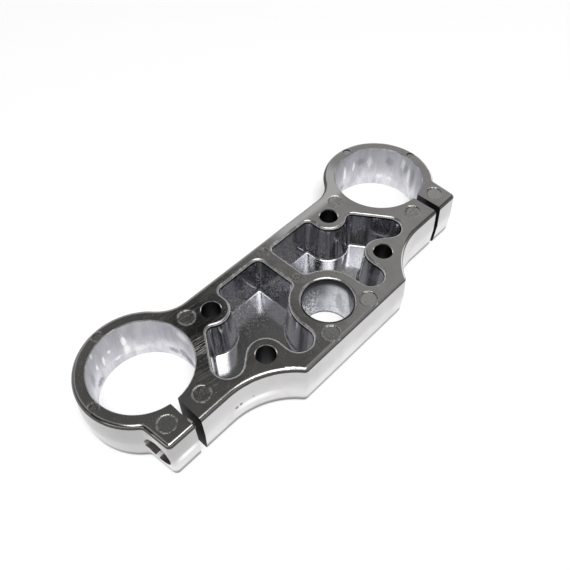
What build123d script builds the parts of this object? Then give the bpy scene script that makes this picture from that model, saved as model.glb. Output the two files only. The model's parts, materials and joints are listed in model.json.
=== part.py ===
"""Motorcycle triple clamp: an upper fork yoke die-cast in one piece and polished, lying pocket side up.

Frame: origin on the stem axis at the resting face, X along the fork line, Y from the stem towards the
fork line, Z up along the bores. Millimetres and degrees.
"""

import os
from math import acos, asin, atan2, cos, hypot, pi, radians, sin, sqrt, tan

from build123d import *

# Bores
fork_bore_d = 52.0  # bore that clamps each fork tube
fork_pitch = 181.0  # between the two fork axes
fork_offset = 39.0  # stem axis to the fork line
stem_bore_d = 27.0  # bore for the steering stem
bar_hole_d = 10.3  # four handlebar mount bolt holes
bar_pitch_x = 90.5  # between the hole columns
bar_pitch_y = 39.0  # between the hole rows, the rear row level with the stem
fork_ease = 0.5  # chamfer on the mouths of the fork bores
stem_round = 1.5  # rounding of the upper mouth of the stem bore
bar_ease = 0.4  # chamfer on the mouths of the bolt holes

# Outline at the parting line, half way up
thickness = 29.0  # height along the bores
ring_wall = 7.5  # wall round each fork bore
front_reach = 14.65  # front edge ahead of the fork line
front_sweep = 17.7  # concave sweep from the front edge onto each ring
lug_reach = 43.25  # rear face of the lugs behind the fork line
lug_side = 19.3  # outer side of each lug beyond its fork axis
lug_taper = 5.0  # lugs narrow to the rear
lug_fillet = 3.0  # concave corner between ring and lug side
rear_reach = 21.45  # rear edge behind the stem axis
rear_width = 78.4  # rear edge, out to its corners
rear_sweep = 41.6  # concave sweep from each lug to the rear edge
side_draft = 3.0  # outer faces lean in from the parting line
edge_round = 2.2  # rounding of the top and bottom rims
tip_round = 0.3  # what is left of the plan corners on the flat faces

# Pockets, at the top face
rib = 8.8  # web between the two pockets
front_wall = 7.35  # behind the front edge
stem_wall = 6.9  # round the stem bore
boss_wall = 4.8  # round each bolt hole
rear_wall = 8.75  # behind the inner finger
lug_wall = 6.1  # behind the outer finger
finger_wall = 7.9  # between the outer finger and the fork bore
corner_wall = 8.7  # between the pocket's front corner and the fork bore
finger_round = 7.5  # end of the outer finger
pocket_corner = 3.9  # rounded corners in plan
stem_corner = 3.2  # corner between the web and the stem boss
pocket_depth = 24.8
pocket_draft = 4.0  # pocket walls lean in towards the floor
rim_round = 1.5  # rounding of the pocket rims
floor_round = 1.2  # fillet round the pocket floors

# Clamping
slit_width = 4.0  # saw cut from each fork bore to the rear
slit_shift = 1.6  # cut lies outside the fork axis
mouth_round = 0.8  # corners where the cut opens into the bore
bolt_inset = 33.4  # pinch bolt axis behind the fork line
bolt_clear_d = 9.0  # bolt hole through the outer lug
bolt_seat_d = 16.0  # counterbore for the bolt head
bolt_seat_depth = 7.0  # below the outer side of the lug
bolt_tap_d = 6.8  # tapped hole inside the cut
bolt_tap_depth = 16.0

# Shallow round marks left by the ejector pins
pin_sink = 0.4
land_pin_d = 9.2  # on the wide lands
web_pin_d = 6.4  # on the web
ring_pin_d = 4.7  # on the rings
lug_pin_out = 9.4  # beside the slit, on the outer lug
lug_pin_in = 11.2  # beside the slit, on the body
lug_pin_back = 32.6  # both of these behind the fork line
neck_pin_in = 33.6  # between ring and handlebar hole, from the fork axis
neck_pin_ahead = 5.2
rear_pin_x = 14.7  # either side of the middle, near the rear edge
rear_pin_ahead = 6.6
web_pin_ahead = 0.4  # in front of the pockets' front wall
ring_pin_at = 2.7  # marks on the rings stand this far outside the bore
ring_pin_from = -5.0  # first mark on a ring, degrees from X
ring_pin_span = 86.0  # to the second one

top = thickness
half = thickness / 2
fork_r = fork_bore_d / 2
fork_x = fork_pitch / 2
fork_y = fork_offset
ring_r = fork_r + ring_wall
front_y = fork_y + front_reach
lug_y = fork_y - lug_reach
rear_y = -rear_reach
bar_x = bar_pitch_x / 2
slit_x = fork_x + slit_shift
lean_in = half * tan(radians(side_draft))
plan_corner = edge_round + lean_in + tip_round

# Front sweep: centre straight ahead of where it leaves the front edge, touching the ring from outside
sweep_x = fork_x - sqrt((ring_r + front_sweep) ** 2 - (front_reach + front_sweep) ** 2)
share = ring_r / (ring_r + front_sweep)
front_on_ring = (fork_x + share * (sweep_x - fork_x), fork_y + share * (front_reach + front_sweep))

# Lug side: a line leaning outward from the lug's rear corner, joined to the ring by a small concave arc
lug_x = fork_x + lug_side
ux, uy = sin(radians(lug_taper)), cos(radians(lug_taper))
gap_x = lug_x + lug_fillet * uy - fork_x
gap_y = lug_y - lug_fillet * ux - fork_y
along = gap_x * ux + gap_y * uy
rise = -along - sqrt(along**2 - gap_x**2 - gap_y**2 + (ring_r + lug_fillet) ** 2)
fillet_x = lug_x + rise * ux + lug_fillet * uy
fillet_y = lug_y + rise * uy - lug_fillet * ux
share = ring_r / (ring_r + lug_fillet)
lug_on_ring = (fork_x + share * (fillet_x - fork_x), fork_y + share * (fillet_y - fork_y))
lug_on_side = (fillet_x - lug_fillet * uy, fillet_y + lug_fillet * ux)
corner_run = plan_corner * (1 - ux) / uy
corner_on_side = (lug_x + corner_run * ux, lug_y + corner_run * uy)
corner_on_rear = (corner_on_side[0] - plan_corner * uy, lug_y)

# Rear sweep: leaves the lug's rear face squarely and falls to the end of the rear edge, with a rounded corner there
drop = lug_y - rear_y
sweep_start = rear_width / 2 + sqrt(2 * rear_sweep * drop - drop**2)
to_corner = rear_sweep + plan_corner
up_corner = rear_sweep - drop + plan_corner
rear_x = sweep_start - sqrt(to_corner**2 - up_corner**2)
share = rear_sweep / to_corner
rear_on_sweep = (sweep_start + share * (rear_x - sweep_start), lug_y - rear_sweep + share * up_corner)


def belt(discs):
    """Closed line round a chain of discs, anticlockwise round a positive radius and clockwise round a negative one."""
    runs = []
    for (ax, ay, ar), (bx, by, br) in zip(discs, discs[1:] + discs[:1]):
        span = hypot(bx - ax, by - ay)
        heading = atan2(by - ay, bx - ax) - asin(max(-1.0, min(1.0, (br - ar) / span)))
        nx, ny = -sin(heading), cos(heading)
        leave, reach = (ax - ar * nx, ay - ar * ny), (bx - br * nx, by - br * ny)
        if hypot(reach[0] - leave[0], reach[1] - leave[1]) < 0.001:
            leave = reach = (ax + (bx - ax) * abs(ar) / span, ay + (by - ay) * abs(ar) / span)
        runs.append((leave, reach))
    for i, (x, y, r) in enumerate(discs):
        begin, end = runs[i - 1][1], runs[i][0]
        turn = (atan2(end[1] - y, end[0] - x) - atan2(begin[1] - y, begin[0] - x)) % (2 * pi)
        if r < 0:
            turn -= 2 * pi
        middle = atan2(begin[1] - y, begin[0] - x) + turn / 2
        ThreePointArc(begin, (x + abs(r) * cos(middle), y + abs(r) * sin(middle)), end)
        if runs[i][0] != runs[i][1]:
            Line(*runs[i])


def ease_upper(x, y, radius, ease):
    """Chamfers the upper mouth of a through bore."""
    with Locations((x, y, top)):
        Cone(radius, radius + ease, ease, align=(Align.CENTER, Align.CENTER, Align.MAX), mode=Mode.SUBTRACT)


def ease_lower(x, y, radius, ease):
    """Chamfers the lower mouth of a through bore."""
    with Locations((x, y, 0)):
        Cone(radius + ease, radius, ease, align=(Align.CENTER, Align.CENTER, Align.MIN), mode=Mode.SUBTRACT)


# Discs that the pocket wall runs round: its rounded corners and fingers, and the bosses it passes
stem_boss = stem_bore_d / 2 + stem_wall
bar_boss = bar_hole_d / 2 + boss_wall
front_in = front_y - front_wall
web_x = rib / 2
stem_corner_x = web_x + stem_corner
stem_corner_y = sqrt((stem_boss + stem_corner) ** 2 - stem_corner_x**2)
inner_finger = (bar_x - bar_boss - stem_boss) / 2
room = (hypot(fork_x - bar_x, fork_y) - bar_boss - fork_r - finger_wall) / 2
outer_finger = min(finger_round, room)
outer_y = lug_y + lug_wall + outer_finger
outer_x = fork_x - sqrt((fork_r + finger_wall + outer_finger) ** 2 - (fork_y - outer_y) ** 2)
to_ring = fork_r + corner_wall + pocket_corner
to_boss = bar_boss + pocket_corner
span = hypot(bar_x - fork_x, bar_pitch_y - fork_y)
opening = acos(min(1.0, (to_ring**2 + span**2 - to_boss**2) / (2 * to_ring * span)))
bearing = atan2(bar_pitch_y - fork_y, bar_x - fork_x) + opening
pocket_discs = [
    (web_x + pocket_corner, front_in - pocket_corner, pocket_corner),
    (stem_corner_x, stem_corner_y, stem_corner),
    (0, 0, -stem_boss),
    (stem_boss + inner_finger, rear_y + rear_wall + inner_finger, inner_finger),
    (bar_x, 0, -bar_boss),
    (outer_x, outer_y, outer_finger),
    (fork_x + to_ring * cos(bearing), fork_y + to_ring * sin(bearing), pocket_corner),
    (bar_x, bar_pitch_y, -bar_boss),
    (bar_x - bar_boss - pocket_corner, front_in - pocket_corner, pocket_corner),
]

# Die core that forms one pocket: drawn as it stands on its wide face, narrowing upwards
with BuildPart() as pocket_core:
    with BuildSketch(Plane.XY):
        with BuildLine():
            belt(pocket_discs)
        make_face()
    extrude(amount=pocket_depth, taper=pocket_draft)
    fillet(pocket_core.faces().sort_by(Axis.Z)[-1].edges(), floor_round)

with BuildPart() as triple_clamp:
    # Upper half of the outline, leaning in from the parting line, then the same half below it
    with BuildSketch(Plane.XY.offset(half)):
        with BuildLine():
            RadiusArc((rear_x, rear_y), rear_on_sweep, -plan_corner)
            RadiusArc(rear_on_sweep, (sweep_start, lug_y), rear_sweep)
            Line((sweep_start, lug_y), corner_on_rear)
            RadiusArc(corner_on_rear, corner_on_side, -plan_corner)
            Line(corner_on_side, lug_on_side)
            RadiusArc(lug_on_side, lug_on_ring, lug_fillet)
            ThreePointArc(lug_on_ring, (fork_x + ring_r, fork_y), front_on_ring)
            RadiusArc(front_on_ring, (sweep_x, front_y), front_sweep)
            mirror(about=Plane.YZ)
            Line((-sweep_x, front_y), (sweep_x, front_y))
            Line((-rear_x, rear_y), (rear_x, rear_y))
        make_face()
    extrude(amount=half, taper=side_draft)
    fillet(triple_clamp.faces().sort_by(Axis.Z)[-1].edges(), edge_round)
    mirror(about=Plane.XY.offset(half))

    # Two pockets, open upwards
    core = pocket_core.part.mirror(Plane.XY.offset(half))
    add(core, mode=Mode.SUBTRACT)
    add(core.mirror(Plane.YZ), mode=Mode.SUBTRACT)
    deck = triple_clamp.faces().filter_by(Plane.XY).sort_by(Axis.Z)[-1]
    fillet([edge for rim in deck.inner_wires() for edge in rim.edges()], rim_round)

    # Ejector pin marks on the lands, the web and the rings
    with BuildSketch(Plane.XY.offset(top)):
        with Locations(
            (slit_x + lug_pin_out, fork_y - lug_pin_back),
            (slit_x - lug_pin_in, fork_y - lug_pin_back),
            (fork_x - neck_pin_in, fork_y + neck_pin_ahead),
            (rear_pin_x, rear_y + rear_pin_ahead),
        ):
            Circle(land_pin_d / 2)
        with Locations((fork_x, fork_y)):
            with PolarLocations(fork_r + ring_pin_at, 2, ring_pin_from, ring_pin_span, endpoint=True):
                Circle(ring_pin_d / 2)
        mirror(about=Plane.YZ)
        with Locations((0, front_in + web_pin_ahead), (0, stem_boss)):
            Circle(web_pin_d / 2)
    extrude(amount=-pin_sink, mode=Mode.SUBTRACT)

    # Stem bore, rounded above and left square below where it seats on the stem, and handlebar bolt holes
    with Locations((0, 0, top)):
        Hole(stem_bore_d / 2)
    mouths = triple_clamp.edges().filter_by(GeomType.CIRCLE).group_by(Axis.Z)[-1]
    fillet(mouths.sort_by_distance((0, 0, top))[0], stem_round)
    for x in (-bar_x, bar_x):
        for y in (0, bar_pitch_y):
            with Locations((x, y, top)):
                Hole(bar_hole_d / 2)
            ease_upper(x, y, bar_hole_d / 2, bar_ease)
            ease_lower(x, y, bar_hole_d / 2, bar_ease)

    # Fork bores, each slit to the rear, with the corners of the slit rounded where it opens into the bore
    with BuildSketch(Plane.XY) as clamping:
        with Locations((fork_x, fork_y)):
            Circle(fork_r)
        with Locations((slit_x, fork_y)):
            Rectangle(slit_width, 2 * lug_reach, align=(Align.CENTER, Align.MAX))
        mouths = clamping.vertices().filter_by_position(Axis.Y, lug_y, fork_y - fork_r / 2)
        fillet(mouths, mouth_round)
        mirror(about=Plane.YZ)
    extrude(amount=thickness, mode=Mode.SUBTRACT)
    for x in (-fork_x, fork_x):
        ease_upper(x, fork_y, fork_r, fork_ease)
        ease_lower(x, fork_y, fork_r, fork_ease)

    # Pinch bolt across each slit: counterbored clearance hole in the lug, tapped hole in the body
    bolt_y = fork_y - bolt_inset
    seat_x = lug_x + (bolt_y - lug_y) * tan(radians(lug_taper))
    inner_x = slit_x - slit_width / 2
    for side in (-1, 1):
        with Locations(Plane((side * seat_x, bolt_y, half), z_dir=(side, 0, 0))):
            CounterBoreHole(bolt_clear_d / 2, bolt_seat_d / 2, bolt_seat_depth, seat_x - slit_x)
        with Locations(Plane((side * inner_x, bolt_y, half), z_dir=(side, 0, 0))):
            Hole(bolt_tap_d / 2, bolt_tap_depth)

os.makedirs("parts", exist_ok=True)
triple_clamp.part.label = "triple_clamp"
export_step(triple_clamp.part, "parts/triple_clamp.step")
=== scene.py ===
"""Look of the triple clamp: a polished die casting with machined bores, pocket side up on a pale floor."""

import json
from math import cos, hypot, radians, sin

import bpy
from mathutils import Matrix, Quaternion, Vector


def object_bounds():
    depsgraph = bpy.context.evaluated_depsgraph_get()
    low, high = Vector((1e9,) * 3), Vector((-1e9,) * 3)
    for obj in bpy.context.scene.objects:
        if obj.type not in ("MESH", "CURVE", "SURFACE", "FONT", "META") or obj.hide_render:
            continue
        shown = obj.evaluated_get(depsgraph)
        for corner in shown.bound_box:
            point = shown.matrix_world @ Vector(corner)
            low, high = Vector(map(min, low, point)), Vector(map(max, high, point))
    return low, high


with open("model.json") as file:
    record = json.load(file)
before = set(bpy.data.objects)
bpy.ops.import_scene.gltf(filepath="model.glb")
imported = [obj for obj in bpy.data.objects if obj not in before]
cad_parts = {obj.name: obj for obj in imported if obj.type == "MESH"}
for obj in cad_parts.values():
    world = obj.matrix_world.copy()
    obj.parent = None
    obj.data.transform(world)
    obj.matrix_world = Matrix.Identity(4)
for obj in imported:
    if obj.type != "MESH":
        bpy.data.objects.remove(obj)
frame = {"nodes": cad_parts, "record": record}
cad_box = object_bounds()
clamp = frame["nodes"]["triple_clamp"]
scene = bpy.context.scene
scene.view_settings.view_transform = "Standard"

# Sizes and places in millimetres, from the part's box and its mounts

MM = 0.001
MOUNTS = {mount["name"]: mount for mount in frame["record"]["mounts"]}


def place(name):
    return [c / MM for c in MOUNTS[name]["pos_m"]]


def size(name, measure):
    return MOUNTS[name]["dims"][measure]


TOP = cad_box[1][2] / MM
FORK_X, FORK_Y = place("fork_clamp_right")[:2]
FORK_R = size("fork_clamp_right", "r_mm")
STEM_R = size("stem_bore", "r_mm")
BAR_X = size("handlebar_holes", "spacing_x_mm") / 2
BAR_Y = place("handlebar_holes")[1]
BAR_REACH = size("handlebar_holes", "spacing_y_mm") / 2
BAR_R = size("handlebar_holes", "hole_r_mm")
BOLT_X, BOLT_Y, BOLT_Z = place("pinch_hole_right")
BOLT_REACH = size("pinch_hole_right", "length_mm") / 2
SEAT_X = BOLT_X + BOLT_REACH
SAW_OUTER = BOLT_X - BOLT_REACH
SAW_INNER = place("pinch_thread_right")[0] + size("pinch_thread_right", "length_mm") / 2

# Places of marks, wear and painted light in millimetres

# Ejector pin marks of the right half and the middle: place, radius, height of the burr, dullness of the disc
PINS = [
    (101.7, 6.5, 4.4, 0.7, 0.3),
    (80.8, 6.5, 4.3, 0.7, 0.9),
    (57.0, 44.2, 4.4, 0.9, 0.8),
    (14.7, -14.85, 4.6, 0.7, 0.3),
    (119.3, 36.7, 2.65, 0.6, 0.9),
    (95.1, 67.5, 2.65, 0.7, 0.2),
    (0.0, 46.7, 3.2, 0.4, 1.0),
    (0.0, 20.4, 3.2, 0.4, 1.0),
]
# Pin marks with a painted highlight on one side of the burr: the first four, and the fourth's mirror image
GLINT_PINS = [pin[:2] for pin in PINS[:4]] + [(-PINS[3][0], PINS[3][1])]
GLINT_PIN_R = 4.5
# The land by the left ring: where it is handled most, where its painted dark reflection is deepest and where
# it is filed
HANDLED_AT = (-60.0, 26.0, TOP)
DARK_REFLECTION_AT = (-53.0, 37.0, TOP)
FILED_AT = (-64.0, 27.0, TOP)
# Flecks on a wall of the left pocket, and the middle of the cast skin on both pocket floors
FLECKS_AT = (-5.5, 37.0, 13.0)
SKIN_AT = (25.0, 37.0, 0.0)
# Ways across the deck: to the front of the outer edge, to the painted highlight on pin-mark burrs and to the
# side of the stem mouth where the painted dark reflection is broad
FRONT_WAY = (-0.5, 0.87, 0.0)
GLINT_WAY = (0.72, 0.69, 0.0)
MOUTH_WAY = (-0.79, -0.62, 0.0)
# Painted highlights along the parting line of the rear faces: place along X, half length and height
SEAM_HIGHLIGHTS = [(-60.0, 14.0, 12.4), (-101.0, 9.0, 14.2)]
# Nicks in the left rear sweep: place along X, height and radius
NICKS = [(-70.0, 14.4, 1.0), (-67.4, 14.9, 0.9), (-60.5, 15.8, 0.5)]
# Bright rubs in the fork bores: side, bearing in degrees, height, half width, half height and strength
RUBS = [
    (-1, 76, 17.0, 1.8, 6.0, 1.0),
    (-1, 75, 9.0, 2.4, 6.0, 1.0),
    (-1, 88, 6.5, 3.0, 1.8, 0.8),
    (-1, 106, 13.5, 1.3, 4.5, 0.95),
    (-1, 118, 15.5, 1.2, 3.0, 0.9),
    (-1, 96, 16.0, 1.2, 1.8, 0.8),
    (-1, 120, 27.0, 1.2, 3.0, 0.6),
    (-1, 60, 6.0, 5.0, 3.0, 0.5),
    (-1, 2, 24.0, 6.0, 4.0, 0.5),
    (1, 88, 14.5, 1.8, 8.0, 0.95),
    (1, 72, 17.0, 1.2, 5.0, 0.7),
    (1, 48, 18.0, 2.2, 6.0, 0.5),
    (1, 32, 7.0, 3.0, 2.5, 0.8),
    (1, 18, 6.5, 2.5, 1.8, 0.8),
    (1, 0, 22.0, 2.0, 6.0, 0.6),
    (1, -12, 16.0, 2.0, 8.0, 0.6),
]
# Grey stains in the fork bores, in the same terms
STAINS = [
    (-1, 20, 5.5, 5.0, 3.0, 0.7),
    (-1, 5, 7.0, 5.0, 5.0, 0.8),
    (-1, -4, 5.0, 6.0, 4.5, 1.0),
    (-1, 122, 4.5, 4.5, 3.5, 0.8),
    (-1, 134, 14.0, 3.0, 7.0, 0.5),
    (1, 92, 4.5, 3.0, 3.0, 0.6),
    (1, -6, 20.0, 2.5, 5.0, 0.6),
    (1, 62, 19.5, 4.0, 4.0, 0.5),
    (1, 20, 20.0, 3.5, 5.0, 0.5),
    (1, -20, 16.0, 3.0, 12.0, 0.6),
]

# Shader building


class Tree:
    """Short names for adding and linking nodes."""

    def __init__(self, tree):
        self.tree = tree
        tree.nodes.clear()

    def add(self, kind, inputs=None, **settings):
        node = self.tree.nodes.new(kind)
        for key, value in settings.items():
            setattr(node, key, value)
        for key, value in (inputs or {}).items():
            self.put(node.inputs[key], value)
        return node

    def put(self, socket, value):
        if isinstance(value, bpy.types.NodeSocket):
            self.tree.links.new(value, socket)
        elif socket.type == "RGBA":
            socket.default_value = (*value, 1.0)
        else:
            socket.default_value = value

    def math(self, operation, a, b=0.0, c=0.0):
        return self.add("ShaderNodeMath", {0: a, 1: b, 2: c}, operation=operation).outputs[0]

    def times(self, first, *others):
        """Product of two or more values."""
        for other in others:
            first = self.math("MULTIPLY", first, other)
        return first

    def most(self, first, *others):
        """Largest of two or more values."""
        for other in others:
            first = self.math("MAXIMUM", first, other)
        return first

    def more(self, base, mask, amount):
        """The base, plus an amount where the mask is."""
        return self.math("MULTIPLY_ADD", mask, amount, base)

    def apart(self, a, b):
        """How far two numbers are apart."""
        return self.math("ABSOLUTE", self.math("SUBTRACT", a, b))

    def spread(self, value, low, high, to_low=0.0, to_high=1.0):
        """Smooth step from to_low to to_high, as the value goes from low to high."""
        inputs = {0: value, 1: low, 2: high, 3: to_low, 4: to_high}
        return self.add("ShaderNodeMapRange", inputs, interpolation_type="SMOOTHSTEP").outputs[0]

    def vector(self, operation, a, b=(0.0, 0.0, 0.0)):
        node = self.add("ShaderNodeVectorMath", {0: a, 1: b}, operation=operation)
        return node.outputs["Value" if operation in ("DOT_PRODUCT", "LENGTH", "DISTANCE") else "Vector"]

    def noise(self, where, scale, detail, rough):
        inputs = {"Vector": where, "Scale": scale, "Detail": detail, "Roughness": rough}
        return self.add("ShaderNodeTexNoise", inputs).outputs["Fac"]

    def split(self, vector):
        return self.add("ShaderNodeSeparateXYZ", {0: vector}).outputs

    def join(self, x, y, z):
        return self.add("ShaderNodeCombineXYZ", {0: x, 1: y, 2: z}).outputs[0]

    def half_plan(self, x, y):
        """Place in plan, with the left half folded onto the right one."""
        return self.join(self.math("ABSOLUTE", x), y, 0.0)

    def turned(self, vector, degrees, stretch):
        """Turns about Z, then stretches."""
        inputs = {"Vector": vector, "Angle": radians(degrees)}
        node = self.add("ShaderNodeVectorRotate", inputs, rotation_type="Z_AXIS")
        return self.vector("MULTIPLY", node.outputs[0], stretch)

    def seen(self):
        """One for rays that show the background: to the camera, in gloss and through glass."""
        path = self.add("ShaderNodeLightPath").outputs
        return self.most(path["Is Camera Ray"], path["Is Glossy Ray"], path["Is Transmission Ray"])

    def blend(self, share, a, b):
        """Colour a, going over to colour b with the share."""
        return self.add("ShaderNodeMix", {0: share, 6: a, 7: b}, data_type="RGBA").outputs[2]


def material(name):
    made = bpy.data.materials.new(name)
    made.use_nodes = True
    return made, Tree(made.node_tree)


def millimetres(t, stretch=(1.0, 1.0, 1.0)):
    """Place on the object in millimetres, stretched for grain that runs one way."""
    where = t.add("ShaderNodeTexCoord").outputs["Object"]
    return t.vector("MULTIPLY", where, [s / MM for s in stretch])


def metal(t, colour, roughness, normal, **others):
    inputs = {"Base Color": colour, "Metallic": 1.0, "Roughness": roughness, "Normal": normal}
    inputs.update(others)
    shader = t.add("ShaderNodeBsdfPrincipled", inputs)
    t.add("ShaderNodeOutputMaterial", {"Surface": shader.outputs[0]})


def bump(t, height, depth, strength, under=None):
    """Relief with its depth in millimetres, on top of the relief under it."""
    linked = isinstance(depth, bpy.types.NodeSocket)
    distance = t.times(depth, MM) if linked else depth * MM
    inputs = {"Height": height, "Distance": distance, "Strength": strength}
    if under is not None:
        inputs["Normal"] = under
    return t.add("ShaderNodeBump", inputs).outputs[0]


# Finishes of the casting, one function each


def polished():
    """The deck and its rolled edges."""
    made, t = material("polished")
    where = millimetres(t)
    x, y, z = t.split(where)
    lip, disc, shade = pin_marks(t, x, y)
    white = painted_burr_glints(t, where)
    hatch = hatching(t, where)
    front_highlight = painted_front_highlight(t, x, y)
    cloud = t.spread(t.noise(where, scale=0.07, detail=4.0, rough=0.6), 0.35, 0.7)
    grain = t.noise(where, scale=1.1, detail=3.0, rough=0.7)
    specks = t.spread(t.noise(where, scale=1.4, detail=2.0, rough=0.5), 0.65, 0.74)
    drawn = t.noise(millimetres(t, (0.07, 1.5, 1.0)), scale=1.0, detail=3.0, rough=0.7)
    handled = t.spread(t.vector("DISTANCE", where, HANDLED_AT), 16.0, 42.0, 1.0, 0.25)
    lines = t.noise(t.turned(where, 8, (0.045, 2.4, 1.0)), scale=1.0, detail=2.0, rough=0.6)
    lines = t.times(t.spread(lines, 0.58, 0.68), handled, 0.55)
    worn = t.spread(t.noise(where, scale=0.25, detail=5.0, rough=0.8), 0.52, 0.72)
    worn = t.times(worn, t.spread(handled, 0.25, 1.0, 0.5, 1.0))
    # Painted dark reflection, deepest on the land round the far-left hole
    dark_reflection = t.spread(t.vector("DISTANCE", where, DARK_REFLECTION_AT), 8.0, 20.0, 0.5, 0.0)
    # Painted highlight: a pale line at the top of the rolled edge
    edge_highlight = t.spread(z, TOP - 0.3, TOP - 0.12, 0.9, 0.0)
    mottled = t.times(disc, t.spread(grain, 0.38, 0.6, 0.9, 0.15))

    colour = t.blend(cloud, (0.70, 0.68, 0.66), (0.80, 0.78, 0.76))
    colour = t.blend(dark_reflection, colour, (0.30, 0.29, 0.285))
    # Painted highlight along the front edge of the right half
    colour = t.blend(front_highlight, colour, (0.99, 0.98, 0.97))
    colour = t.blend(edge_highlight, colour, (0.97, 0.96, 0.95))
    colour = t.blend(mottled, colour, (0.38, 0.37, 0.36))
    colour = t.blend(shade, colour, (0.16, 0.155, 0.15))
    # Painted dark reflection along the rolled outer edge
    colour = t.blend(painted_edge_reflection(t, x, y, z), colour, (0.03, 0.03, 0.03))
    # Painted highlight arcs on the burrs of some pin marks
    colour = t.blend(white, colour, (0.95, 0.94, 0.92))

    rough = t.more(0.08, cloud, 0.03)
    dulled = [
        (grain, 0.07),
        (worn, 0.1),
        (specks, 0.15),
        (disc, 0.06),
        (lip, 0.27),
        (hatch, 0.26),
        (lines, 0.15),
        (front_highlight, 0.4),
    ]
    for mask, amount in dulled:
        rough = t.more(rough, mask, amount)

    relief = bump(t, grain, depth=0.03, strength=0.5)
    relief = bump(t, drawn, depth=0.018, strength=0.6, under=relief)
    waves = t.noise(where, scale=0.22, detail=2.0, rough=0.5)
    relief = bump(t, waves, depth=0.12, strength=0.35, under=relief)
    marks = t.more(lip, t.most(hatch, lines), 0.2)
    relief = bump(t, marks, depth=0.10, strength=1.0, under=relief)
    metal(t, colour, rough, relief, Metallic=t.spread(white, 0.0, 1.0, 1.0, 0.1))
    return made


def painted_front_highlight(t, x, y):
    """Painted highlight, pale and dull, along the front edge of the right half."""
    across = t.spread(y, FORK_Y + 4.5, FORK_Y + 9.5)
    return t.times(across, t.spread(x, 2.0, 22.0), t.spread(x, 72.0, 88.0, 1.0, 0.0))


def painted_edge_reflection(t, x, y, z):
    """Painted dark reflection where the outer edge rolls over: low all round, higher on the front and the
    right rear.
    """
    normal = t.add("ShaderNodeTexCoord").outputs["Normal"]
    steep = t.spread(t.split(normal)["Z"], 0.98, 0.88, 0.0, 0.85)
    low = t.spread(z, TOP - 0.88, TOP - 0.55, 0.95, 0.0)
    right_rear = t.times(t.spread(x, 52.0, 62.0), t.spread(y, 14.0, 6.0, 0.0, 0.85))
    front = t.spread(t.vector("DOT_PRODUCT", normal, FRONT_WAY), 0.05, 0.15)
    away = t.vector("DISTANCE", t.half_plan(x, y), (FORK_X, FORK_Y, 0.0))
    ring = t.times(
        t.spread(away, FORK_R + 3.5, FORK_R + 5.0),
        t.spread(away, FORK_R + 10.0, FORK_R + 11.5, 1.0, 0.0),
    )
    outer = t.most(t.spread(y, FORK_Y + 6.0, FORK_Y + 7.5), ring)
    return t.most(low, t.times(steep, front, outer), t.times(right_rear, steep))


def pin_marks(t, x, y):
    """Raised burr round each ejector pin mark, the duller disc inside and the shade along its far edge."""
    plan = t.half_plan(x, y)
    lip = disc = shade = 0.0
    for px, py, r, burr, dull in PINS:
        away = t.vector("DISTANCE", plan, (px, py, 0.0))
        inside = t.spread(away, r - 0.2, r, 1.0, 0.0)
        beyond = t.spread(t.vector("DISTANCE", plan, (px, py - 0.9, 0.0)), r - 0.15, r + 0.35)
        lip = t.most(lip, t.spread(t.apart(away, r + 0.15), 0.1, 0.75, burr, 0.0))
        disc = t.most(disc, t.times(inside, dull))
        shade = t.most(shade, t.times(inside, beyond))
    patchy = t.spread(t.noise(t.join(x, y, 0.0), scale=0.4, detail=3.0, rough=0.6), 0.36, 0.6)
    shade = t.times(shade, t.spread(x, -25.0, 45.0, 0.15, 0.85))
    return t.times(lip, patchy), disc, shade


def painted_burr_glints(t, where):
    """Painted highlights: white arcs on one side of the burr of some pin marks, dull and not metallic."""
    mask = 0.0
    for px, py in GLINT_PINS:
        off = t.vector("SUBTRACT", where, (px, py, TOP))
        away = t.vector("LENGTH", off)
        band = t.spread(t.apart(away, GLINT_PIN_R + 0.1), 0.1, 0.5, 1.0, 0.0)
        along = t.math("DIVIDE", t.vector("DOT_PRODUCT", off, GLINT_WAY), away)
        mask = t.most(mask, t.times(band, t.spread(along, 0.8, 0.92)))
    return t.times(mask, t.spread(t.noise(where, scale=0.8, detail=2.0, rough=0.6), 0.38, 0.52))


def hatching(t, where):
    """Short file strokes across the land between the left ring and the pocket."""
    strokes = t.noise(t.turned(where, 9, (0.09, 2.2, 1.0)), scale=1.0, detail=1.0, rough=0.5)
    away = t.vector("DISTANCE", where, FILED_AT)
    return t.times(t.spread(strokes, 0.52, 0.6), t.spread(away, 3.0, 9.0, 1.0, 0.0))


def rims():
    """Rounded rims of the pockets and of the stem bore, each with a painted dark reflection below."""
    made, t = material("pocket_rims")
    where = millimetres(t)
    x, y, z = t.split(where)
    plan = t.join(x, y, 0.0)
    nibbled = t.noise(where, scale=0.22, detail=4.0, rough=0.6)
    stem = t.spread(t.vector("LENGTH", plan), STEM_R + 1.6, STEM_R + 1.9, 1.0, 0.0)
    # Painted dark reflections below the stem mouth, broad on one side, and below the pocket rims
    raised = t.spread(t.vector("DOT_PRODUCT", plan, MOUTH_WAY), -6.0, 11.0, 0.0, 0.62)
    stem_dark_reflection = t.spread(t.math("SUBTRACT", z, raised), TOP - 0.65, TOP - 0.45, 0.97, 0.0)
    pocket_dark_reflection = t.spread(z, TOP - 1.2, TOP - 0.9, 0.95, 0.0)
    colour = t.blend(t.spread(nibbled, 0.35, 0.65), (0.66, 0.65, 0.64), (0.94, 0.93, 0.92))
    colour = t.blend(t.most(t.times(stem, stem_dark_reflection), pocket_dark_reflection), colour, (0.03, 0.03, 0.035))
    rough = t.spread(nibbled, 0.3, 0.7, 0.14, 0.34)
    metal(t, colour, rough, bump(t, nibbled, depth=0.12, strength=0.4))
    return made


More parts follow.
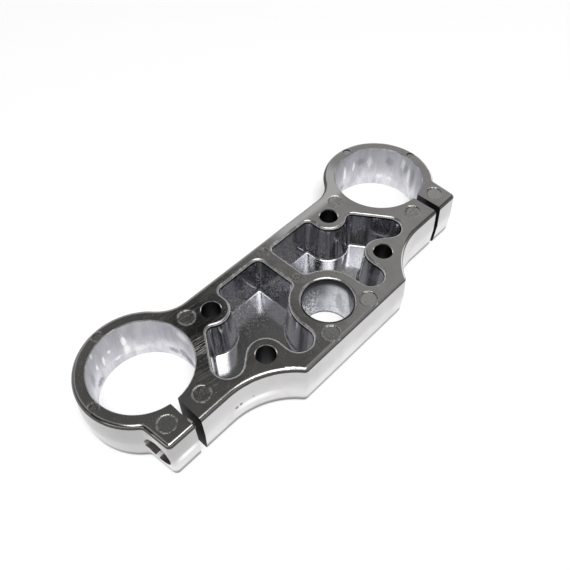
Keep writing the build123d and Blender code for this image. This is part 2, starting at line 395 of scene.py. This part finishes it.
def sides():
    """The drafted outer faces."""
    made, t = material("side_walls")
    where = millimetres(t)
    x, y, z = t.split(where)
    cloud = t.noise(where, scale=0.05, detail=3.0, rough=0.6)
    nicks = nicked(t, where)
    # Painted darker reflection on the left ring's flank and on the left lug
    dark_flank_reflection = t.times(t.spread(x, -92.0, -100.0), t.spread(y, 5.0, 11.0, 0.0, 0.5))
    dark_lug_reflection = t.times(t.spread(x, -92.0, -95.0), t.spread(y, 4.0, 1.0), t.spread(z, 8.0, 16.0, 0.0, 0.45))
    # Painted contact shadow along the foot
    foot = t.spread(z, 2.4, 5.8, 0.9, 0.0)
    # Painted dark reflection just under the rolled edge
    under_edge_reflection = t.spread(z, TOP - 2.05, TOP - 1.88, 0.0, 0.95)

    # Painted reflection: darker towards the top, lighter towards the floor
    tone = t.blend(t.spread(z, 7.0, 22.0), (0.74, 0.73, 0.74), (0.57, 0.56, 0.56))
    tone = t.blend(t.spread(cloud, 0.4, 0.75, 0.0, 0.35), tone, (0.42, 0.41, 0.42))
    tone = t.blend(dark_flank_reflection, tone, (0.30, 0.295, 0.30))
    tone = t.blend(dark_lug_reflection, tone, (0.34, 0.335, 0.335))
    # Painted highlights along the parting line
    tone = t.blend(painted_seam_highlights(t, x, y, z), tone, (0.95, 0.94, 0.95))
    # Painted contact shadow at the foot, and the nicks
    tone = t.blend(t.most(foot, nicks), tone, (0.13, 0.125, 0.13))
    tone = t.blend(under_edge_reflection, tone, (0.05, 0.05, 0.052))

    rough = t.more(0.12, cloud, 0.14)
    waves = t.noise(where, scale=0.1, detail=3.0, rough=0.5)
    grain = t.noise(where, scale=0.8, detail=3.0, rough=0.6)
    relief = bump(t, waves, depth=0.3, strength=0.35)
    relief = bump(t, grain, depth=0.02, strength=0.4, under=relief)
    relief = bump(t, nicks, depth=-0.3, strength=1.0, under=relief)
    metal(t, tone, rough, relief)
    return made


def painted_seam_highlights(t, x, y, z):
    """Painted highlights along the parting line of the rear faces."""
    mask = 0.0
    for centre, half, level in SEAM_HIGHLIGHTS:
        rising = t.spread(z, level - 4.9, level - 0.4)
        falling = t.spread(z, level + 2.8, level + 0.4)
        along = t.spread(t.apart(x, centre), half * 0.2, half, 1.0, 0.0)
        mask = t.most(mask, t.times(rising, falling, along))
    return t.times(mask, t.spread(y, 5.0, 2.0))


def nicked(t, where):
    """Ragged nicks in the left rear sweep."""
    x, y, z = t.split(where)
    face = t.join(x, 0.0, z)
    ragged = t.noise(where, scale=1.2, detail=2.0, rough=0.5)
    mask = 0.0
    for nx, nz, r in NICKS:
        away = t.more(t.vector("DISTANCE", face, (nx, 0.0, nz)), ragged, 0.8)
        mask = t.most(mask, t.spread(away, r, r + 0.5, 1.0, 0.0))
    return t.times(mask, t.spread(y, 0.0, 3.0, 1.0, 0.0))


def pocket_walls():
    """Walls of the pockets, with upright bands and a painted dark reflection under the rim."""
    made, t = material("pocket_walls")
    where = millimetres(t)
    z = t.split(where)["Z"]
    bands = t.noise(millimetres(t, (1.0, 1.0, 0.1)), scale=0.2, detail=2.0, rough=0.5)
    bands = t.spread(bands, 0.35, 0.65)
    scores = t.noise(millimetres(t, (1.0, 1.0, 0.13)), scale=0.55, detail=2.0, rough=0.5)
    scores = t.spread(scores, 0.63, 0.7)
    near = t.spread(t.vector("DISTANCE", where, FLECKS_AT), 6.0, 12.0, 1.0, 0.0)
    flecks = t.times(t.spread(t.noise(where, scale=0.9, detail=3.0, rough=0.6), 0.58, 0.66), near)
    # Painted dark reflection just under the rim
    under_rim_reflection = t.spread(z, TOP - 2.5, TOP - 1.9, 0.0, 0.9)
    colour = t.blend(bands, (0.565, 0.565, 0.603), (0.62, 0.62, 0.66))
    colour = t.blend(under_rim_reflection, colour, (0.04, 0.04, 0.045))
    rough = t.more(0.12, bands, 0.03)
    rough = t.more(rough, scores, 0.04)
    rough = t.more(rough, flecks, 0.3)
    relief = bump(t, t.noise(where, scale=0.25, detail=2.0, rough=0.5), depth=0.02, strength=0.3)
    relief = bump(t, flecks, depth=0.12, strength=1.0, under=relief)
    metal(t, colour, rough, relief)
    return made


def pocket_floor():
    """Bright cast floor, with a pitted grey skin in its middle."""
    made, t = material("pocket_floor")
    where = millimetres(t)
    x, y, _ = t.split(where)
    pits = t.noise(where, scale=1.1, detail=5.0, rough=0.75)
    away = t.vector("DISTANCE", t.half_plan(x, y), SKIN_AT)
    drift = t.noise(where, scale=0.15, detail=3.0, rough=0.6)
    skin = t.spread(t.more(away, drift, 16.0), 10.0, 32.0, 1.0, 0.0)
    spots = t.times(t.spread(pits, 0.5, 0.68), skin)
    low = t.blend(skin, (0.74, 0.74, 0.75), (0.56, 0.56, 0.57))
    colour = t.blend(t.spread(pits, 0.36, 0.6), low, (0.97, 0.97, 0.98))
    colour = t.blend(spots, colour, (0.95, 0.95, 0.95))
    rough = t.more(t.spread(pits, 0.3, 0.7, 0.14, 0.09), spots, 0.4)
    depth = t.spread(skin, 0.0, 1.0, 0.02, 0.07)
    metal(t, colour, rough, bump(t, pits, depth=depth, strength=0.5))
    return made


def patches(t, where, places):
    """Patches with ragged edges on the fork bores."""
    ragged = t.times(t.noise(millimetres(t, (1.0, 1.0, 0.4)), scale=1.1, detail=5.0, rough=0.8), 2.2)
    mask = 0.0
    for side, bearing, height, wide, tall, strength in places:
        a = radians(bearing)
        centre = (side * FORK_X + FORK_R * cos(a), FORK_Y + FORK_R * sin(a), height)
        off = t.vector("MULTIPLY", t.vector("SUBTRACT", where, centre), (1 / wide, 1 / wide, 1 / tall))
        away = t.math("ADD", t.vector("LENGTH", off), ragged)
        mask = t.most(mask, t.spread(away, 1.5, 2.05, strength, 0.0))
    return mask


def machined():
    """The fork bores, with chips along the upper edge."""
    made, t = material("machined_bore")
    where = millimetres(t)
    z = t.split(where)["Z"]
    smudge = t.noise(millimetres(t, (1.0, 1.0, 0.35)), scale=0.16, detail=4.0, rough=0.65)
    smudge = t.spread(smudge, 0.36, 0.66)
    brushed = t.noise(millimetres(t, (1.0, 1.0, 0.2)), scale=0.3, detail=3.0, rough=0.55)
    brushed = t.spread(brushed, 0.35, 0.65, 0.0, 0.15)
    grain = t.noise(where, scale=1.5, detail=3.0, rough=0.7)
    chips = t.spread(t.noise(where, scale=0.12, detail=3.0, rough=0.6), 0.48, 0.66, 0.15, 0.9)
    chips = t.times(chips, t.spread(z, TOP - 0.8, TOP - 0.5))
    # Painted reflection: lighter towards the bottom, darker towards the top
    tone = t.blend(t.spread(z, 5.0, 20.0), (0.84, 0.84, 0.88), (0.47, 0.47, 0.505))
    tone = t.blend(t.times(smudge, 0.5), tone, (0.42, 0.42, 0.46))
    tone = t.blend(brushed, tone, (0.80, 0.80, 0.83))
    tone = t.blend(t.spread(grain, 0.35, 0.7, 0.0, 0.2), tone, (0.34, 0.34, 0.36))
    tone = t.blend(patches(t, where, STAINS), tone, (0.24, 0.24, 0.27))
    tone = t.blend(patches(t, where, RUBS), tone, (0.97, 0.97, 0.97))
    tone = t.blend(chips, tone, (0.98, 0.98, 0.98))
    rough = t.more(0.4, smudge, 0.12)
    relief = bump(t, grain, depth=0.05, strength=0.35)
    relief = bump(t, smudge, depth=0.2, strength=0.3, under=relief)
    metal(t, tone, rough, relief)
    return made


def stem_bore():
    """The stem bore: speckled on the left, smooth on the right, with a painted dark reflection at the mouth,
    a painted shadow band on the right and dark along the foot.
    """
    made, t = material("stem_bore")
    where = millimetres(t)
    x, y, z = t.split(where)
    speckle = t.noise(where, scale=0.75, detail=2.5, rough=0.65)
    smudge = t.noise(millimetres(t, (1.0, 1.0, 0.45)), scale=0.16, detail=4.0, rough=0.6)
    middle = t.times(t.spread(z, 10.0, 19.0), t.spread(x, 7.0, 12.5, 0.85, 0.0))
    slant = t.more(y, z, -0.29)
    # Painted shadow band on the right wall
    right_shadow_band = t.times(t.spread(slant, -9.0, -9.8, 0.0, 0.9), t.spread(x, 2.0, 5.0))
    # Painted dark reflection at the mouth
    mouth = t.spread(z, 22.0, 25.8)
    foot = t.spread(z, 0.9, 1.7, 0.75, 0.0)
    pitted = t.times(t.spread(x, -2.0, 9.0, 1.0, 0.15), t.spread(z, 20.0, 26.0, 1.0, 0.0))

    tone = t.blend(t.spread(x, 8.0, 13.0), (0.48, 0.49, 0.53), (0.78, 0.80, 0.84))
    tone = t.blend(middle, tone, (0.20, 0.20, 0.22))
    tone = t.blend(t.spread(smudge, 0.42, 0.62, 0.0, 0.5), tone, (0.20, 0.20, 0.22))
    tone = t.blend(right_shadow_band, tone, (0.17, 0.185, 0.21))
    tone = t.blend(mouth, tone, (0.045, 0.045, 0.05))
    tone = t.blend(foot, tone, (0.10, 0.10, 0.11))
    tone = t.blend(t.times(t.spread(speckle, 0.53, 0.45), pitted), tone, (0.07, 0.07, 0.075))
    tone = t.blend(t.times(t.spread(speckle, 0.54, 0.6), pitted), tone, (0.95, 0.95, 0.97))

    rough = t.more(0.3, speckle, 0.2)
    metal(t, tone, rough, bump(t, speckle, depth=0.08, strength=0.5))
    return made


def drilled():
    """The handlebar holes, painted dark as shade, with drill rings."""
    made, t = material("drilled_hole")
    rings = t.noise(millimetres(t, (0.2, 0.2, 3.0)), scale=1.0, detail=2.0, rough=0.5)
    # Painted shade: the holes are coloured near black
    colour = t.blend(rings, (0.05, 0.05, 0.055), (0.15, 0.15, 0.16))
    metal(t, colour, t.more(0.3, rings, 0.2), bump(t, rings, depth=0.05, strength=0.5))
    return made


def bolt_seat():
    """The pinch bolt's counterbore and hole: painted dark as shade, with a bright seat and roof and a
    painted highlight stripe.
    """
    made, t = material("bolt_seat")
    x, y, z = t.split(millimetres(t))
    rings = t.noise(millimetres(t, (2.5, 0.2, 0.2)), scale=1.0, detail=2.0, rough=0.5)
    # Painted highlight stripe along the lower wall
    highlight_stripe = t.spread(t.apart(y, BOLT_Y + 2.2), 0.6, 1.3, 1.0, 0.0)
    seat = t.spread(t.math("ABSOLUTE", x), SEAT_X + 0.12, SEAT_X + 0.32, 1.0, 0.0)
    roof = t.spread(z, BOLT_Z - 3.0, BOLT_Z)
    bright = t.most(highlight_stripe, seat, roof)
    # Painted shade: dark except for the bare seat, the roof and the stripe
    colour = t.blend(rings, (0.10, 0.09, 0.09), (0.28, 0.26, 0.25))
    colour = t.blend(bright, colour, (0.98, 0.97, 0.96))
    colour = t.blend(highlight_stripe, colour, (0.66, 0.65, 0.65))
    rough = t.more(t.more(0.4, rings, 0.2), bright, -0.25)
    bare = t.spread(highlight_stripe, 0.0, 1.0, 1.0, 0.15)
    metal(t, colour, rough, bump(t, rings, depth=0.04, strength=0.5), Metallic=bare)
    return made


def sawn():
    """The saw cuts, painted near black as shade, darkest towards the rear."""
    made, t = material("saw_cut")
    marks = t.noise(millimetres(t, (0.3, 2.0, 0.1)), scale=1.4, detail=3.0, rough=0.6)
    inner = t.spread(t.split(millimetres(t))["Y"], 3.0, 9.0)
    # Painted shade: near black, darkest towards the rear
    low = t.blend(inner, (0.004, 0.004, 0.004), (0.03, 0.03, 0.031))
    high = t.blend(inner, (0.025, 0.025, 0.026), (0.12, 0.12, 0.125))
    colour = t.blend(t.spread(marks, 0.35, 0.7), low, high)
    rough = t.more(0.45, marks, 0.25)
    relief = bump(t, marks, depth=0.1, strength=0.6)
    metal(t, colour, rough, relief, **{"Metallic": 0.35, "Specular IOR Level": 0.15})
    return made


FINISHES = [
    polished(),
    rims(),
    sides(),
    pocket_walls(),
    pocket_floor(),
    machined(),
    stem_bore(),
    drilled(),
    bolt_seat(),
    sawn(),
]
POLISHED, RIMS, SIDES, WALLS, FLOOR, MACHINED, STEM, DRILLED, SEAT, SAWN = range(len(FINISHES))

# Which finish each face of the casting has, with lengths in millimetres

# A hollow in the deck is a pin mark if it ends above this height, a pocket if it ends between the next two
PIN_MARK_ABOVE = 20.0
POCKET_ABOVE = 3.5
POCKET_BELOW = 10.0
# Depth of a pocket's rim, and height where its floor ends
RIM_DEPTH = 1.6
FLOOR_BELOW = 5.45
# How far the rounded or chamfered mouths reach past the bores
FORK_MOUTH = 0.6
STEM_MOUTH = 1.6
BAR_MOUTH = 0.5
# Pinch lugs: radius of the counterbore and how far facets stand off it, where the holes begin along X, and
# how far from the seat a face still belongs to it
SEAT_R = 8.0
FACET_ROOM = 0.05
LUG_FROM = 70.0
SEAT_ROOM = 0.2
# Saw cuts: room beside the cut, where they end along Y, and where they meet the fork bore
SAW_ROOM = 0.9
SAW_END = 14.0
SAW_AT_BORE = 10.0
# Depth of the rolled outer edge, and how far a face on the deck may lie below the top
EDGE_DEPTH = 2.3
DECK_ROOM = 0.01
# Limits of a normal along Z on the deck, a rounded mouth, the rolled edge and an upright wall
DECK_UP = 0.999
MOUTH_UP = 0.3
EDGE_UP = 0.2
UPRIGHT = 0.1
# Limit of a normal that points straight at a side
STRAIGHT = 0.9
# Corners of faces that are this close, in metres, are one point
SAME_POINT = 0.000001

mesh = clamp.data
mesh.materials.clear()
for finish in FINISHES:
    mesh.materials.append(finish)


def lowest_heights():
    """Lowest height that each face below the deck connects to, so that hollows in the deck stand apart."""
    ids = {}
    owner = []
    for vertex in mesh.vertices:
        key = tuple(round(c / SAME_POINT) for c in vertex.co)
        owner.append(ids.setdefault(key, len(ids)))
    parent = list(range(len(ids)))

    def root(i):
        while parent[i] != i:
            parent[i] = parent[parent[i]]
            i = parent[i]
        return i

    def on_deck(face):
        return face.normal.z > DECK_UP and face.center.z > (TOP - DECK_ROOM) * MM

    below = [face for face in mesh.polygons if not on_deck(face)]
    for face in below:
        first = root(owner[face.vertices[0]])
        for vertex in face.vertices[1:]:
            parent[root(owner[vertex])] = first
    lowest = {}
    for face in below:
        key = root(owner[face.vertices[0]])
        height = face.center.z / MM
        lowest[key] = min(lowest.get(key, height), height)
    return {face.index: lowest[root(owner[face.vertices[0]])] for face in below}


def pocket_finish(z):
    if z > TOP - RIM_DEPTH:
        return RIMS
    if z < FLOOR_BELOW:
        return FLOOR
    return WALLS


def in_bolt_hole(x, y, z, normal):
    """Whether a face is the wall or the seat of a pinch bolt's hole."""
    wall = abs(normal.y) + abs(normal.z) > STRAIGHT
    seat = abs(abs(x) - SEAT_X) < SEAT_ROOM
    inside = hypot(y - BOLT_Y, z - BOLT_Z) < SEAT_R + FACET_ROOM and abs(x) > LUG_FROM
    return inside and (wall or seat)


def in_saw_cut(x, y, normal):
    """Whether a face is a wall of a saw cut, or its corner with the fork bore."""
    beside = SAW_INNER - SAW_ROOM < abs(x) < SAW_OUTER + SAW_ROOM and y < SAW_END
    return beside and abs(normal.z) < UPRIGHT and (abs(normal.x) > STRAIGHT or y > SAW_AT_BORE)


def finish_of(face, lowest):
    """The finish of a face, from its place, the way it faces and the lowest height that it connects to."""
    x, y, z = (c / MM for c in face.center)
    faces_up = face.normal.z > MOUTH_UP
    if lowest is None or lowest > PIN_MARK_ABOVE:
        return POLISHED
    if POCKET_ABOVE < lowest < POCKET_BELOW:
        return pocket_finish(z)
    if hypot(abs(x) - FORK_X, y - FORK_Y) < FORK_R + FORK_MOUTH:
        return MACHINED
    if hypot(x, y) < STEM_R + STEM_MOUTH:
        return RIMS if faces_up else STEM
    if hypot(abs(x) - BAR_X, abs(y - BAR_Y) - BAR_REACH) < BAR_R + BAR_MOUTH:
        return POLISHED if faces_up else DRILLED
    if in_bolt_hole(x, y, z, face.normal):
        return SEAT
    if in_saw_cut(x, y, face.normal):
        return SAWN
    if face.normal.z > EDGE_UP and z > TOP - EDGE_DEPTH:
        return POLISHED
    return SIDES


lowest_of = lowest_heights()
for face in mesh.polygons:
    face.material_index = finish_of(face, lowest_of.get(face.index))

# Floor, world, lamp and camera

# Half width of the floor and its gap below the part, in metres, and how much of its look is plain white
FLOOR_HALF = 4.0
FLOOR_GAP = 0.00003
FLOOR_WHITE = 0.5
# Fields of the world, by azimuth, elevation, inner and outer radius in degrees
# Dark fields, each with the share of light left there
DARK_FIELDS = [
    ((62, 60, 11, 19), 0.32),
    ((57, 54.5, 1.5, 5), 0.08),
    ((-50, 22, 14, 28), 0.5),
    ((150, 15, 14, 28), 0.5),
]
# Wide dark field, above the elevations where it fades in, and the share of light left there
WIDE_FIELD = (-140, 10, 66, 86)
WIDE_FROM = (30, 40)
WIDE_LEFT = 0.1
# Soft bright field overhead with a dimmer spot in it, and the strength of both
OVERHEAD = (-120, 75, 19, 24)
OVERHEAD_STRENGTH = 2.2
SPOT = (-136, 67, 4, 8)
SPOT_STRENGTH = 0.3
# Strength of the rest of the world and of the backdrop, with the elevations between which they change
LOW_STRENGTH = 0.5
HIGH_STRENGTH = 0.27
HIGH_FROM = (5, 34)
BACKDROP_STRENGTH = 0.85
BACKDROP_UP_TO = (9, 18)
# Point that the lamp is aimed at, in metres
LAMP_TARGET = Vector((0.0, 0.02, 0.0))
# Camera: the picture's width and focal length in pixels, the sensor in millimetres, its place and aim in
# millimetres and its roll in degrees
PICTURE_PX = 570.0
FOCAL_PX = 654.22
SENSOR = 36.0
CAMERA_AT = Vector((-161.71, -125.71, 294.32))
CAMERA_AIM = Vector((8.56, 38.71, 0.0))
CAMERA_ROLL = -0.686


def floor():
    made, t = material("pale_floor")
    lit = t.add("ShaderNodeBsdfDiffuse", {"Color": (0.92, 0.92, 0.92)})
    white = t.add("ShaderNodeEmission", {"Color": (1.0, 1.0, 1.0), "Strength": 1.0})
    share = t.times(t.seen(), FLOOR_WHITE)
    mix = t.add("ShaderNodeMixShader", {0: share, 1: lit.outputs[0], 2: white.outputs[0]})
    t.add("ShaderNodeOutputMaterial", {"Surface": mix.outputs[0]})
    plane = bpy.data.meshes.new("floor")
    corners = [(-1, -1), (1, -1), (1, 1), (-1, 1)]
    plane.from_pydata([(x * FLOOR_HALF, y * FLOOR_HALF, 0.0) for x, y in corners], [], [(0, 1, 2, 3)])
    plane.materials.append(made)
    thing = bpy.data.objects.new("floor", plane)
    thing.location.z = cad_box[0][2] - FLOOR_GAP
    scene.collection.objects.link(thing)


def way(azimuth, elevation):
    """Unit vector towards a place in the studio."""
    a = radians(azimuth)
    e = radians(elevation)
    return Vector((cos(e) * cos(a), cos(e) * sin(a), sin(e)))


def sky():
    """Studio world with dark fields and one soft bright field overhead, above a pale backdrop band."""
    world = bpy.data.worlds.new("studio")
    scene.world = world
    world.use_nodes = True
    t = Tree(world.node_tree)
    ray = t.add("ShaderNodeTexCoord").outputs["Generated"]
    height = t.split(ray)["Z"]

    def field(azimuth, elevation, inner, outer):
        near = t.vector("DOT_PRODUCT", ray, way(azimuth, elevation))
        return t.spread(near, cos(radians(outer)), cos(radians(inner)))

    def climb(elevations, to_low, to_high):
        """Goes from one value to another between two elevations in degrees."""
        low, high = (sin(radians(elevation)) for elevation in elevations)
        return t.spread(height, low, high, to_low, to_high)

    level = climb(HIGH_FROM, LOW_STRENGTH, HIGH_STRENGTH)
    for dark, left in DARK_FIELDS:
        level = t.times(level, t.spread(field(*dark), 0.0, 1.0, 1.0, left))
    wide = t.times(field(*WIDE_FIELD), climb(WIDE_FROM, 0.0, 1.0))
    level = t.times(level, t.spread(wide, 0.0, 1.0, 1.0, WIDE_LEFT))
    overhead = t.spread(field(*SPOT), 0.0, 1.0, OVERHEAD_STRENGTH, SPOT_STRENGTH)
    level = t.more(level, field(*OVERHEAD), overhead)
    studio = t.add("ShaderNodeBackground", {"Color": (1.0, 1.0, 1.0), "Strength": level})
    pale = t.add("ShaderNodeBackground", {"Color": (1.0, 1.0, 1.0), "Strength": BACKDROP_STRENGTH})
    backdrop = t.times(t.seen(), climb(BACKDROP_UP_TO, 1.0, 0.0))
    mix = t.add("ShaderNodeMixShader", {0: backdrop, 1: studio.outputs[0], 2: pale.outputs[0]})
    t.add("ShaderNodeOutputWorld", {"Surface": mix.outputs[0]})


def lamp(name, azimuth, elevation, distance, across, watts):
    """Soft round lamp that the metal doesn't mirror."""
    light = bpy.data.lights.new(name, "AREA")
    light.shape = "DISK"
    light.size = across
    light.energy = watts
    thing = bpy.data.objects.new(name, light)
    thing.location = LAMP_TARGET + way(azimuth, elevation) * distance
    thing.rotation_euler = (LAMP_TARGET - thing.location).to_track_quat("-Z", "Y").to_euler()
    thing.visible_glossy = False
    scene.collection.objects.link(thing)


def camera():
    data = bpy.data.cameras.new("camera")
    data.sensor_width = SENSOR
    data.lens = FOCAL_PX * SENSOR / PICTURE_PX
    data.clip_start = 0.01
    thing = bpy.data.objects.new("camera", data)
    level = (CAMERA_AIM - CAMERA_AT).to_track_quat("-Z", "Y")
    rolled = level @ Quaternion((0.0, 0.0, 1.0), radians(CAMERA_ROLL))
    thing.location = CAMERA_AT * MM
    thing.rotation_euler = rolled.to_euler()
    scene.collection.objects.link(thing)
    scene.camera = thing


floor()
sky()
lamp("overhead", azimuth=-120, elevation=70, distance=2.0, across=0.7, watts=31.0)
camera()
